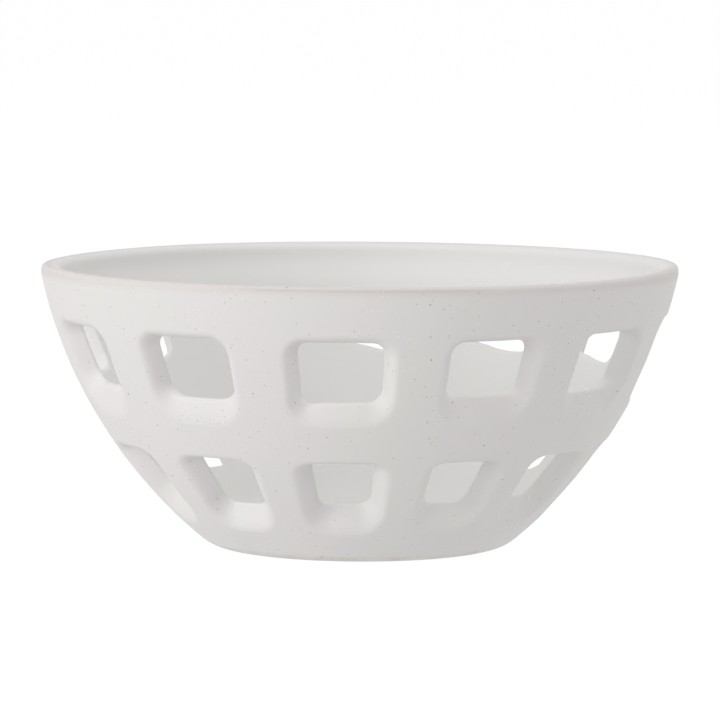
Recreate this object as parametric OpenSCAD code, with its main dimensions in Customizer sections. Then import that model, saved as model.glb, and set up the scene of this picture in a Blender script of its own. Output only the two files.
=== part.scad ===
// Berry colander bowl: a stoneware bowl with two rows of hand-cut windows in its wall.
// The real bowl is thrown and fired as one pot. Its solids here are the potter's zones of
// that pot, from the foot ring up to the rim, and they meet face to face with no gap.

/* [Bowl] */
// Widest outside diameter, at the rim
rim_d = 240; // [200:1:280]
// Height from the table to the top of the rim
bowl_h = 107; // [90:1:125]
// Outside diameter of the flat that stands on the table
base_d = 100; // [90:1:110]
// Radius of the arc that the wall follows in section
wall_arc_r = 175; // [165:1:260]
// Radius of the turn from the base up into the wall
heel_r = 15; // [11:0.5:18]
// Thickness of the wall, square to it
wall_t = 7.5; // [6.5:0.25:9]
// Thickness of the lip, whose top is fully round
lip_t = 7; // [5:0.25:8]

/* [Windows] */
// Windows in each row
window_count = 12; // [9:1:13]
// Turn of the first window from the front, in degrees
window_turn = -5; // [-15:0.5:15]
// Radius of the soft edge round a window, on the inside of the wall
inner_edge_r = 2; // [1:0.25:2.5]
// Height from the top of the floor to the sills of the lower windows, on the outside
sill_rise = 8.9; // [8:0.1:14]
// Height of the plain wall between the rows, on the outside
bridge_h = 21.25; // [17:0.25:26]
// Height of the plain wall from the upper windows to the top of the rim
band_h = 23.1; // [18:0.1:30]

/* [Upper row] */
// Width of an upper window along the wall, between its cut sides
upper_w = 33; // [26:0.5:36]
// Radius of its top corners
upper_top_r = 4.5; // [3:0.5:8]
// Radius of its bottom corners
upper_bottom_r = 8; // [4:0.5:11]
// Radius of its soft edge on the outside
upper_edge_r = 3; // [2:0.25:4]

/* [Lower row] */
// Width of a lower window along the wall, between its cut sides
lower_w = 22; // [17:0.5:24]
// Radius of its top corners
lower_top_r = 4; // [3:0.5:8]
// Radius of its bottom corners
lower_bottom_r = 6; // [4:0.5:9]
// Radius of its soft edge on the outside
lower_edge_r = 4.5; // [3:0.25:5.5]

/* [Foot and floor] */
// Thickness of the floor, from the table to its top
floor_t = 8.5; // [7:0.25:9.5]
// Width of the foot ring
foot_w = 7; // [5:0.5:10]
// Depth of the hollow inside the foot ring
foot_h = 2.5; // [2:0.25:3.5]
// Diameter of a drain hole in the floor
drain_d = 5; // [3:0.25:7]
// Drain holes in the circle round the middle one
drain_count = 6; // [4:1:10]
// Diameter of that circle
drain_circle_d = 44; // [30:1:60]

/* [Hidden] */

clay = [0.90, 0.89, 0.88];
bare_clay = [0.80, 0.75, 0.68];

// How far a hand-cut window stands from its even place, as a share of the pitch
upper_turn_share = [0.05, 0, 0.03, 0.02, 0, 0.02, -0.03, -0.08, -0.12, -0.07, -0.02, 0.06];
lower_turn_share = [0.03, -0.02, -0.02, 0.02, 0.01, 0.04, -0.01, -0.06, -0.1, -0.07, -0.03, 0.06];
// How far a window's sill lies below the start of its bottom corners, as a share of their radius
upper_sill_share = [1, 0.7, 0.8, 1, 0.75, 0.85, 0.9, 1, 0.8, 1, 1, 1.15];
lower_sill_share = [1, 1, 0.95, 1, 0.9, 1, 1, 0.95, 1, 0.9, 1, 1];
// Share of the height of both rows' windows that the lower row has
lower_row_share = 0.46;
// Most that the corners may take of a window's height, which limits them in a short window
corner_limit_share = 0.48;
// Most that the two soft edges may take of the wall's thickness, which limits the outer one in a thin wall
edge_limit_share = 0.95;
// Height of the level seam between the rows, as a share of the plain wall there
middle_seam_share = 0.47;
// Plain wall left beyond the soft edges of the windows before a zone ends
seam_margin = 1.5;
// How far a cutting shape runs past what it cuts
overrun = 1;
// Lean of the face that stands on the table, in degrees
flat_lean = 90;

// Steps round a soft edge outside and inside, round a window's corner, which takes an even number,
// and along its sides and ends
edge_steps = 3;
inner_edge_steps = 2;
corner_steps = 4;
side_steps = 2;
end_steps = 4;
// Steps along each curve of a turned section
section_steps = 16;
turn_fn = 144;

rim_r = rim_d / 2;
base_r = base_d / 2;
lip_r = lip_t / 2;
pitch = 360 / window_count;

// The wall's arc runs from the round of the heel to the round of the lip and touches both.
heel_centre = [base_r, heel_r];
lip_centre = [rim_r - lip_r, bowl_h - lip_r];
heel_reach = wall_arc_r - heel_r;
lip_reach = wall_arc_r - lip_r;
between = lip_centre - heel_centre;
span = norm(between);
along = (heel_reach * heel_reach - lip_reach * lip_reach + span * span) / (2 * span);
arc_centre = heel_centre + along * between / span
    + sqrt(heel_reach * heel_reach - along * along) * [-between[1], between[0]] / span;

// The wall is measured by its lean, which is the turn of its outward face below the level,
// and by the depth from that face, square to it.
function mix(a, b, share) = a + (b - a) * share;
function lean_at(z, depth) = asin((arc_centre[1] - z) / (wall_arc_r - depth));
function section_at(lean, depth) = arc_centre + (wall_arc_r - depth) * [cos(lean), -sin(lean)];
function wall_point(turn, lean, depth) =
    let (p = section_at(lean, depth))
    [p[0] * sin(turn), -p[0] * cos(turn), p[1]];
function arc(centre, r, from, to) = [
    for (i = [0:section_steps])
        centre + r * [cos(mix(from, to, i / section_steps)), -sin(mix(from, to, i / section_steps))]
];

heel_lean = asin((arc_centre[1] - heel_centre[1]) / heel_reach);
lip_lean = asin((arc_centre[1] - lip_centre[1]) / lip_reach);
// The foot ring ends on the heel's round, or past it on the wall's arc.
round_lean = asin(1 - foot_h / heel_r);
foot_lean = round_lean > heel_lean ? round_lean : lean_at(foot_h, 0);

// Outside of the wall between two leans, round the heel and up the wall's arc
function outside(from, to) = concat(
    from > heel_lean ? arc(heel_centre, heel_r, from, max(to, heel_lean)) : [],
    to < heel_lean ? arc(arc_centre, wall_arc_r, min(from, heel_lean), to) : []
);

// The rows share the height that the floor and the plain stretches of wall leave for windows.
lower_sill_z = floor_t + sill_rise;
upper_lintel_z = bowl_h - band_h;
lower_lintel_z = mix(lower_sill_z, upper_lintel_z - bridge_h, lower_row_share);
upper_sill_z = lower_lintel_z + bridge_h;

// A row holds its windows' outline, their soft edge, the lean of their middle, and what was cut by hand.
// The height of their outline is measured up the wall.
UPPER = [
    upper_w, wall_length(upper_sill_z, upper_lintel_z), upper_top_r, upper_bottom_r, upper_edge_r,
    middle_lean(upper_sill_z, upper_lintel_z), upper_turn_share, upper_sill_share
];
LOWER = [
    lower_w, wall_length(lower_sill_z, lower_lintel_z), lower_top_r, lower_bottom_r, lower_edge_r,
    middle_lean(lower_sill_z, lower_lintel_z), lower_turn_share, lower_sill_share
];
function wall_length(sill_z, lintel_z) =
    (lean_at(sill_z, 0) - lean_at(lintel_z, 0)) / 180 * PI * wall_arc_r;
function middle_lean(sill_z, lintel_z) = (lean_at(sill_z, 0) + lean_at(lintel_z, 0)) / 2;
function row_w(row) = row[0];
function row_h(row) = row[1];
function row_top_r(row) = row[2] * corner_fit(row);
function row_bottom_r(row) = row[3] * corner_fit(row);
function corner_fit(row) = min(1, corner_limit_share * row_h(row) / (row[2] + row[3]));
function row_edge_r(row) = min(row[4], edge_limit_share * wall_t - inner_edge_r);
function row_middle_lean(row) = row[5];
function row_turn_share(row, i) = by_hand(row[6], i);
function row_sill_share(row, i) = by_hand(row[7], i);
function by_hand(shares, i) = shares[(i + window_count) % window_count % len(shares)];

// Lean at a height y up the wall from the row's middle, and the turn of a distance x along it
function row_lean(row, y) = row_middle_lean(row) - y / wall_arc_r * 180 / PI;
function row_degrees(row, x) = x / section_at(row_middle_lean(row), 0)[0] * 180 / PI;
function window_turn_at(row, i) = window_turn + pitch * (i + row_turn_share(row, i));
function post_turn_at(row, i) = (window_turn_at(row, i) + window_turn_at(row, i + 1)) / 2;

// Level seams: under and over both rows, and between them
function edge_z(row, side) =
    section_at(row_lean(row, side * (row_h(row) / 2 + row_edge_r(row) + seam_margin)), 0)[1];
low_seam_z = edge_z(LOWER, -1);
middle_seam_z = mix(lower_lintel_z, upper_sill_z, middle_seam_share);
high_seam_z = edge_z(UPPER, 1);
LOWER_SEAMS = [low_seam_z, middle_seam_z];
UPPER_SEAMS = [middle_seam_z, high_seam_z];

// Outline of a window, anticlockwise from the foot of its right side.
// Each point is [across, up, the way that the outline faces there].
function run(from, to, facing, steps) = [
    for (i = [0:steps - 1]) [
        (from[0] * (steps - i) + to[0] * i) / steps,
        (from[1] * (steps - i) + to[1] * i) / steps,
        facing
    ]
];
function corner(x, y, r, facing) = [
    for (i = [0:corner_steps - 1])
        let (a = facing + i / corner_steps * 90)
        [x + r * cos(a), y + r * sin(a), a]
];
function outline(row) =
    let (x = row_w(row) / 2, y = row_h(row) / 2, t = row_top_r(row), b = row_bottom_r(row))
    concat(
        run([x, b - y], [x, y - t], 0, side_steps),
        corner(x - t, y - t, t, 0),
        run([x - t, y], [t - x, y], 90, end_steps),
        corner(t - x, y - t, t, 90),
        run([-x, y - t], [-x, b - y], 180, side_steps),
        corner(b - x, b - y, b, 180),
        run([b - x, -y], [x - b, -y], 270, end_steps),
        corner(x - b, b - y, b, 270)
    );

// Where the stretches of the outline start
top_start = side_steps;
left_start = side_steps + 2 * corner_steps + end_steps;
bottom_start = left_start + side_steps;
outline_count = bottom_start + 2 * corner_steps + end_steps;

// Section of the wall beside a window: [distance from the cut, depth] from the outer face to the inner.
function soft_edge(row) =
    let (r = row_edge_r(row))
    concat(
        [
            for (i = [0:edge_steps])
                let (a = 90 * i / edge_steps)
                [r * (1 - sin(a)), r * (1 - cos(a))]
        ],
        [
            for (i = [0:inner_edge_steps])
                let (a = 90 * i / inner_edge_steps)
                [inner_edge_r * (1 - cos(a)), wall_t - inner_edge_r * (1 - sin(a))]
        ]
    );
loop_count = edge_steps + inner_edge_steps + 4;

// One loop of points round the wall beside window i, at point k of its outline. It starts where its
// zone ends on the outer face and finishes where it ends on the inner face. A loop at the side of a
// window ends on the middle of the post there, and one over or under it on the level seam.
function loop(row, seams, i, k) =
    let (
        o = outline(row)[k],
        facing = o[2],
        corner_y = row_bottom_r(row) - row_h(row) / 2,
        y = o[1] < corner_y ? mix(corner_y, o[1], row_sill_share(row, i)) : o[1],
        turned = 1 - abs(facing % 180 - 90) / 90,
        seam_share = min(1, 2 * turned),
        end_share = max(0, 2 * turned - 1),
        seam_z = facing < 180 ? seams[1] : seams[0],
        own_turn = window_turn_at(row, i) + row_degrees(row, o[0]),
        post = cos(facing) > 0 ? i : i - 1,
        far_turn = end_share == 0
            ? post_turn_at(row, (post + window_count) % window_count)
            : mix(post_turn_at(row, post), own_turn, end_share),
        lean = row_lean(row, o[1]),
        outer_seam = lean_at(seam_z, 0),
        inner_seam = lean_at(seam_z, wall_t),
        outer_lean = seam_share == 1 ? outer_seam : mix(lean, outer_seam, seam_share),
        inner_lean = seam_share == 1 ? inner_seam : mix(lean, inner_seam, seam_share)
    )
    concat(
        [wall_point(far_turn, outer_lean, 0)],
        [
            for (e = soft_edge(row))
                wall_point(
                    own_turn + row_degrees(row, e[0] * cos(facing)),
                    row_lean(row, y + e[0] * sin(facing)),
                    e[1]
                )
        ],
        [wall_point(far_turn, inner_lean, wall_t)]
    );

// Faces of a strip of loops. The strip is closed along the seam only where its loops end on one,
// and both its ends are filled in, so that the next zone's strip starts with the same faces.
function strip_faces(start, loops, closed_from, closed_to) =
    let (n = loop_count)
    concat(
        [
            for (k = [0:loops - 2])
                for (m = [0:n - 2])
                    let (a = start + k * n + m)
                    each [[a, a + 1, a + n], [a + 1, a + n + 1, a + n]]
        ],
        [
            for (k = [0:loops - 2])
                if (k >= closed_from && k < closed_to)
                    let (a = start + k * n)
                    each [[a, a + n, a + n - 1], [a + n, a + 2 * n - 1, a + n - 1]]
        ],
        end_faces(start, false),
        end_faces(start + (loops - 1) * n, true)
    );
function end_faces(start, last) = [
    for (m = [0:ceil(loop_count / 2) - 2])
        let (
            a = start + m, b = start + m + 1,
            c = start + loop_count - 2 - m, d = start + loop_count - 1 - m
        )
        each [
            if (b != c) last ? [a, b, c] : [c, b, a],
            last ? [a, c, d] : [d, c, a]
        ]
];

// A ring of corners and sills or lintels, from loop k_from to loop k_to of every window
module ring(row, seams, k_from, k_to) {
    loops = k_to - k_from + 1;
    half_corner = corner_steps / 2;
    polyhedron(
        points = [
            for (i = [0:window_count - 1])
                for (k = [k_from:k_to])
                    each loop(row, seams, i, k % outline_count)
        ],
        faces = [
            for (i = [0:window_count - 1])
                each strip_faces(i * loops * loop_count, loops, half_corner, loops - 1 - half_corner)
        ]
    );
}
module sills(row, seams) {
    ring(row, seams, bottom_start, outline_count);
}
module lintels(row, seams) {
    ring(row, seams, top_start, left_start);
}

// The posts, each made of the right side of one window and the left side of the next
module posts(row, seams) {
    loops = side_steps + 1;
    for (i = [0:window_count - 1])
        polyhedron(
            points = concat(
                [for (k = [0:side_steps]) each loop(row, seams, i, k)],
                [for (k = [0:side_steps]) each loop(row, seams, i + 1, left_start + k)]
            ),
            faces = concat(
                strip_faces(0, loops, 0, 0),
                strip_faces(loops * loop_count, loops, 0, 0)
            )
        );
}

module lower_sills() {
    color(clay) sills(LOWER, LOWER_SEAMS);
}
module lower_posts() {
    color(clay) posts(LOWER, LOWER_SEAMS);
}
module lower_lintels() {
    color(clay) lintels(LOWER, LOWER_SEAMS);
}
module upper_sills() {
    color(clay) sills(UPPER, UPPER_SEAMS);
}
module upper_posts() {
    color(clay) posts(UPPER, UPPER_SEAMS);
}
module upper_lintels() {
    color(clay) lintels(UPPER, UPPER_SEAMS);
}

// Turned zones, which end on the same level seams
module turned(points) {
    rotate_extrude($fn = turn_fn) polygon(points);
}
module rim() {
    seam = section_at(lean_at(high_seam_z, wall_t), wall_t);
    fall = seam - lip_centre;
    // The inner face runs straight up from the seam and touches the round of the lip.
    touch = atan2(-fall[1], fall[0]) + acos(lip_r / norm(fall));
    color(clay) turned(concat(
        arc(arc_centre, wall_arc_r, lean_at(high_seam_z, 0), lip_lean),
        arc(lip_centre, lip_r, lip_lean, touch - 360),
        [seam]
    ));
}
module heel() {
    seam_lean = lean_at(low_seam_z, wall_t);
    seam = section_at(seam_lean, wall_t);
    // The inside turns into the floor about the point where the wall's slope would meet it.
    reach = (low_seam_z - floor_t) / cos(seam_lean);
    knee = seam - reach * [sin(seam_lean), cos(seam_lean)];
    floor_end = knee - [reach, 0];
    color(clay) turned(concat(
        [[base_r, foot_h]],
        outside(foot_lean, lean_at(low_seam_z, 0)),
        [
            for (i = [0:section_steps])
                let (s = i / section_steps)
                mix(mix(seam, knee, s), mix(knee, floor_end, s), s)
        ],
        [[base_r, floor_t]]
    ));
}
module drain_floor() {
    hole_h = floor_t - foot_h + 2 * overrun;
    color(clay) difference() {
        translate([0, 0, foot_h]) cylinder(h = floor_t - foot_h, r = base_r, $fn = turn_fn);
        translate([0, 0, foot_h - overrun]) {
            cylinder(h = hole_h, d = drain_d, $fn = turn_fn);
            for (i = [0:drain_count - 1])
                rotate(i * 360 / drain_count)
                    translate([drain_circle_d / 2, 0, 0]) cylinder(h = hole_h, d = drain_d, $fn = turn_fn);
        }
    }
}
module foot_ring() {
    color(bare_clay) turned(concat(
        [[base_r - foot_w, foot_h], [base_r - foot_w, 0]],
        outside(flat_lean, foot_lean)
    ));
}

foot_ring();
drain_floor();
heel();
lower_sills();
lower_posts();
lower_lintels();
upper_sills();
upper_posts();
upper_lintels();
rim();
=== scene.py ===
"""Looks of an openwork stoneware berry bowl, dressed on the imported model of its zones."""

import logging
import math
from collections.abc import Callable, Sequence
from dataclasses import dataclass
from enum import Enum
from typing import Any

import bmesh
import bpy
import numpy as np
from mathutils import Matrix, Vector


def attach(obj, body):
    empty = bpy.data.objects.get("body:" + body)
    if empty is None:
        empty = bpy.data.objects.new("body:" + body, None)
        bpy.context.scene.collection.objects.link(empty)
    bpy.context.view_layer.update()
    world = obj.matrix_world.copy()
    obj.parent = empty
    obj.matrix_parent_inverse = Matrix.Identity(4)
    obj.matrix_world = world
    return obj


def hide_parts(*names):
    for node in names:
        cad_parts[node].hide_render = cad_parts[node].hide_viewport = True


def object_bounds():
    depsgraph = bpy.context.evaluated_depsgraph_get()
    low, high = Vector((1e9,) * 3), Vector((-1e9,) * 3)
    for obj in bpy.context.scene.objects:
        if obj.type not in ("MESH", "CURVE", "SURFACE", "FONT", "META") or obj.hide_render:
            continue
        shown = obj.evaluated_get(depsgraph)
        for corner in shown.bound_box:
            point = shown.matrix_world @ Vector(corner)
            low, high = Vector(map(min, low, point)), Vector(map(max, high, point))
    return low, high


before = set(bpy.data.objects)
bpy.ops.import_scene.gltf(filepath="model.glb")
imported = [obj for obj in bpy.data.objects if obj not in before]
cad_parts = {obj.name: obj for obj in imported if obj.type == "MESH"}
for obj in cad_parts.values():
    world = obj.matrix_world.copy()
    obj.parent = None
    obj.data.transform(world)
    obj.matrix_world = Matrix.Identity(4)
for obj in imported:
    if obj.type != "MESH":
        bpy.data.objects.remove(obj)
CAD_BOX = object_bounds()
WELD = 3e-6
HEADROOM = 0.000015
log = logging.getLogger("berry_bowl")

Pair = tuple[float, float]
Triple = tuple[float, float, float]
Colour = tuple[float, float, float, float]
Settings = dict[str, Any]
Sockets = dict[str | int, Any]


class Slot(Enum):
    """The record's material slots."""

    GLAZE = "matte_glaze"
    CLAY = "bare_stoneware"


def enabled(sockets: Any, name: str | None = None) -> bpy.types.NodeSocket:
    """The first socket in use, or the first in use of that name."""
    return next(s for s in sockets if s.enabled and name in (None, s.name))


def operator(operation: str, reflected: bool = False) -> Callable[..., "Value"]:
    """Makes a method of Value that adds one Math node.

    Args:
        operation: the node's operation.
        reflected: whether the value itself comes last, as in 1 - mask.

    Returns:
        The method.
    """

    def method(self: "Value", *others: "Value | float") -> "Value":
        """Works the operation out on this value and the others."""
        operands = (*others, self) if reflected else (self, *others)
        return self.graph.value("ShaderNodeMath", {"operation": operation}, dict(enumerate(operands)))

    return method


class Value:
    """A number socket that takes part in Python arithmetic; each expression adds its Math nodes."""

    def __init__(self, graph: "Graph", socket: bpy.types.NodeSocket) -> None:
        """Wraps one output socket of the graph."""
        self.graph = graph
        self.socket = socket

    __add__ = __radd__ = operator("ADD")
    __mul__ = __rmul__ = operator("MULTIPLY")
    __sub__, __rsub__ = operator("SUBTRACT"), operator("SUBTRACT", reflected=True)
    __truediv__, __rtruediv__ = operator("DIVIDE"), operator("DIVIDE", reflected=True)
    __pow__, __abs__ = operator("POWER"), operator("ABSOLUTE")
    sin, cos = operator("SINE"), operator("COSINE")
    angle_from, larger = operator("ARCTAN2"), operator("MAXIMUM")

    def towards(self, other: "Value", share: "Value") -> "Value":
        """Goes from self to other by a share."""
        return self + (other - self) * share

    def rise(self, low: "Value | float", high: "Value | float") -> "Value":
        """Goes smoothly from 0 at low to 1 at high.

        Args:
            low: where it leaves 0.
            high: where it reaches 1; it may be lower than low.

        Returns:
            The eased share, clamped.
        """
        return self.graph.value(
            "ShaderNodeMapRange",
            {"interpolation_type": "SMOOTHSTEP"},
            {"Value": self, "From Min": low, "From Max": high},
        )


class Graph:
    """A node tree, for a material, the world or a shape, with one way to add a node."""

    def __init__(self, tree: bpy.types.NodeTree) -> None:
        """Takes a tree and empties it."""
        self.tree = tree
        tree.nodes.clear()

    def add(
        self, kind: str, settings: Settings | None = None, sockets: Sockets | None = None
    ) -> bpy.types.Node:
        """Adds a node.

        Args:
            kind: the node's type.
            settings: its properties, set first.
            sockets: a value or a link for each input, by name or number.

        Returns:
            The new node.
        """
        node = self.tree.nodes.new(kind)
        for name, setting in (settings or {}).items():
            setattr(node, name, setting)
        for key, given in (sockets or {}).items():
            socket = node.inputs[key] if isinstance(key, int) else enabled(node.inputs, key)
            given = given.socket if isinstance(given, Value) else given
            if isinstance(given, bpy.types.NodeSocket):
                self.tree.links.new(given, socket)
            else:
                socket.default_value = given
        return node

    def link(
        self,
        kind: str,
        settings: Settings | None = None,
        sockets: Sockets | None = None,
        output: str | None = None,
    ) -> bpy.types.NodeSocket:
        """Adds a node for its named output, or its first one."""
        return enabled(self.add(kind, settings, sockets).outputs, output)

    def value(
        self,
        kind: str,
        settings: Settings | None = None,
        sockets: Sockets | None = None,
        output: str | None = None,
    ) -> Value:
        """Adds a node for a number that it puts out."""
        return Value(self, self.link(kind, settings, sockets, output))

    def axes(self, place: Any) -> tuple[Value, ...]:
        """The three numbers of a vector or a colour."""
        return tuple(Value(self, s) for s in self.add("ShaderNodeSeparateXYZ", {}, {0: place}).outputs)

    def vector(self, x: Any, y: Any, z: Any) -> bpy.types.NodeSocket:
        """A vector of three values."""
        return self.link("ShaderNodeCombineXYZ", {}, {0: x, 1: y, 2: z})

    def vector_math(self, operation: str, first: Any, second: Any) -> bpy.types.NodeSocket:
        """One Vector Math node on two vectors."""
        return self.link("ShaderNodeVectorMath", {"operation": operation}, {0: first, 1: second})

    def mix_colour(self, share: Value | float, low: Any, high: Any) -> bpy.types.NodeSocket:
        """Mixes two colours.

        Args:
            share: how much of the second colour shows.
            low: the first colour, as a link or four numbers.
            high: the second colour.

        Returns:
            The mixed colour's socket.
        """
        return self.link("ShaderNodeMix", {"data_type": "RGBA"}, {"Factor": share, "A": low, "B": high})

    def noise(
        self,
        place: Any,
        scale: Value | float,
        detail: float = 2.0,
        roughness: float = 0.5,
        output: str | None = None,
    ) -> Value:
        """Noise read at a place.

        Args:
            place: the vector to read it at.
            scale: how many of its waves fit in a metre.
            detail: octaves beyond the first.
            roughness: how strong each octave is beside the one before.
            output: the node's output, or None for its number.

        Returns:
            The noise.
        """
        return self.value(
            "ShaderNodeTexNoise",
            {"noise_dimensions": "3D"},
            {"Vector": place, "Scale": scale, "Detail": detail, "Roughness": roughness},
            output,
        )

    def surface(self, relief: Value, strength: float, sockets: Sockets) -> None:
        """Ends a material in a principled shader.

        Args:
            relief: height of its fine relief, in metres.
            strength: how strongly the relief shows.
            sockets: the shader's other values and links.
        """
        bump = self.link("ShaderNodeBump", {}, {"Strength": strength, "Distance": 1.0, "Height": relief})
        shader = self.link("ShaderNodeBsdfPrincipled", {}, {"Normal": bump, **sockets})
        self.add("ShaderNodeOutputMaterial", {}, {"Surface": shader})


def new_material(name: str) -> tuple[bpy.types.Material, Graph]:
    """Starts a material.

    Args:
        name: the material's name.

    Returns:
        The material and its empty tree.
    """
    made = bpy.data.materials.new(name)
    made.use_nodes = True
    return made, Graph(made.node_tree)


def srgb(red: float, green: float, blue: float) -> Colour:
    """Turns a colour as seen on a screen, 0 to 255, into the renderer's linear numbers.

    Args:
        red: red on the screen.
        green: green on the screen.
        blue: blue on the screen.

    Returns:
        The linear colour with full opacity.
    """
    linear = []
    for part in (red, green, blue):
        share = part / 255
        linear.append(share / 12.92 if share <= 0.04045 else ((share + 0.055) / 1.055) ** 2.4)
    return linear[0], linear[1], linear[2], 1.0


# Finishes


@dataclass(frozen=True)
class Speckle:
    """One kind of small round mark, scattered through a finish."""

    colour: Colour
    strength: float
    spacing: float
    radius: float
    shift: float
    dent: float = 0.0
    least: float = 0.25
    core: float = 0.45

    def mask(self, graph: Graph, place: Any) -> Value:
        """Scatters the marks, each of its own size.

        Args:
            graph: the material's tree.
            place: the coordinates to read.

        Returns:
            1 in a mark's core and 0 outside it, soft between.
        """
        moved = graph.vector_math("ADD", place, (self.shift,) * 3)
        cells = graph.add(
            "ShaderNodeTexVoronoi",
            {"voronoi_dimensions": "3D", "feature": "F1"},
            {"Vector": moved, "Scale": 1 / self.spacing},
        )
        size = (graph.axes(cells.outputs["Color"])[0] + self.least) * (self.radius / self.spacing)
        return (Value(graph, cells.outputs["Distance"]) / size).rise(1.0, self.core)


@dataclass(frozen=True)
class MatteGlaze:
    """The off-white matte glaze, with iron specks and pinholes, darker and warm in a band under the lip,
    and with a painted shade line along the lip's outer edge at the front.

    Depths are pairs of where a mark has gone and where it is whole, in metres from the wall's
    outer face or as shares of the wall.
    """

    name: str = "matte speckled glaze"
    plain: Colour = srgb(231, 230, 228)
    pink_grey: Colour = srgb(233, 229, 229)
    green_grey: Colour = srgb(231, 230, 227)
    # a darker, warmer tone for a band just under the lip, on the outside
    under_lip_tone: Colour = srgb(221, 216, 214)
    # painted shade: colour of a thin dark line along the lip's outer edge at the front
    painted_lip_shade: Colour = srgb(212, 203, 199)
    pinholes: Speckle = Speckle(srgb(250, 249, 247), 0.9, 0.0019, 0.0003, shift=4.7, dent=0.00004)
    pits: Speckle = Speckle(srgb(176, 160, 150), 0.6, 0.0023, 0.0003, shift=9.1, dent=0.00004)
    faint_iron: Speckle = Speckle(srgb(176, 160, 150), 0.5, 0.00312, 0.000372, shift=3.0)
    iron: Speckle = Speckle(srgb(78, 68, 62), 0.9, 0.0039, 0.00031, shift=4.9, dent=0.00002)
    outside_shares: Pair = (0.8, 0.5)
    patch_shares: Pair = (1.0, 0.7)
    # the darker band under the lip: its heights, its depths, and how faint it gets between patches
    under_lip_heights: Pair = (0.1012, 0.1042)
    under_lip_depths: Pair = (0.0055, 0.0035)
    under_lip_least: float = 0.75
    # the painted shade line along the lip: its height, half width, reach from the front and depths
    painted_lip_shade_z: float = 0.1045
    painted_lip_shade_half: float = 0.0008
    painted_lip_shade_reach: float = 0.055
    painted_lip_shade_depths: Pair = (0.0022, 0.0012)
    cloud_scale: float = 34
    cloud_stretch: Triple = (1, 1, 0.4)
    cloud_edges: Pair = (0.38, 0.62)
    break_scale: float = 14
    break_edges: Pair = (0.35, 0.6)
    patch_scale: float = 45
    patch_edges: Pair = (0.46, 0.58)
    peel_scale: float = 420
    peel_relief: float = 0.00002
    peel_roughness: float = 0.12
    throwing_scale: float = 260
    throwing_sway: float = 0.004
    throwing_relief: float = 0.00003
    relief_strength: float = 0.6
    roughness: float = 0.62
    iron_gloss: float = 0.1
    ior: float = 1.45

    def material(self, wall: "WallSection") -> bpy.types.Material:
        """Builds the glaze's material.

        Args:
            wall: the section that it covers, because the specks keep to the outside.

        Returns:
            The new material.
        """
        made, graph = new_material(self.name)
        place = graph.link("ShaderNodeTexCoord", output="Object")
        x, y, height = graph.axes(place)
        out = (x * x + y * y) ** 0.5 - float(wall.arc_centre[0])
        up = height - float(wall.arc_centre[1])
        depth = wall.arc_radius - (out * out + up * up) ** 0.5
        outside = depth.rise(*(share * wall.wall for share in self.outside_shares))

        stretched = graph.vector_math("MULTIPLY", place, self.cloud_stretch)
        clouds = graph.noise(stretched, self.cloud_scale, 3, 0.55)
        tint = graph.mix_colour(clouds.rise(*self.cloud_edges), self.pink_grey, self.green_grey)
        base = graph.mix_colour(outside, self.plain, tint)

        breaks = graph.noise(place, self.break_scale).rise(*self.break_edges)
        # darker and warmer in a band just under the lip, on the outside, in patches
        crest = height.rise(*self.under_lip_heights) * depth.rise(*self.under_lip_depths)
        crest = crest * (self.under_lip_least + (1 - self.under_lip_least) * breaks)
        base = graph.mix_colour(crest, base, self.under_lip_tone)
        # painted shade: a thin warm dark line along the lip's outer edge, kept to the front of the bowl
        # where the lip turns down into the wall
        line = abs(height - self.painted_lip_shade_z).rise(self.painted_lip_shade_half, 0.0) * breaks
        line = line * depth.rise(*self.painted_lip_shade_depths)
        line = line * abs(x).rise(self.painted_lip_shade_reach, self.painted_lip_shade_reach / 2)
        base = graph.mix_colour(line, base, self.painted_lip_shade)

        patches = graph.noise(place, self.patch_scale, 2, 0.6).rise(*self.patch_edges)
        patches = patches * depth.rise(*(share * wall.wall for share in self.patch_shares))
        peel = graph.noise(place, self.peel_scale, 3, 0.6)
        throwing = graph.value(
            "ShaderNodeTexNoise",
            {"noise_dimensions": "1D"},
            {"W": height + self.throwing_sway * clouds, "Scale": self.throwing_scale, "Detail": 2},
        )
        relief = peel * self.peel_relief + throwing * self.throwing_relief
        for speckle, where in (
            (self.pinholes, patches),
            (self.pits, patches),
            (self.faint_iron, outside),
            (self.iron, outside),
        ):
            seen = speckle.mask(graph, place) * where
            base = graph.mix_colour(seen * speckle.strength, base, speckle.colour)
            relief = relief - seen * speckle.dent
        roughness = self.roughness + self.peel_roughness * (peel - 0.5) - self.iron_gloss * seen
        sockets = {"Base Color": base, "Roughness": roughness, "IOR": self.ior}
        graph.surface(relief, self.relief_strength, sockets)
        return made


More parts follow.
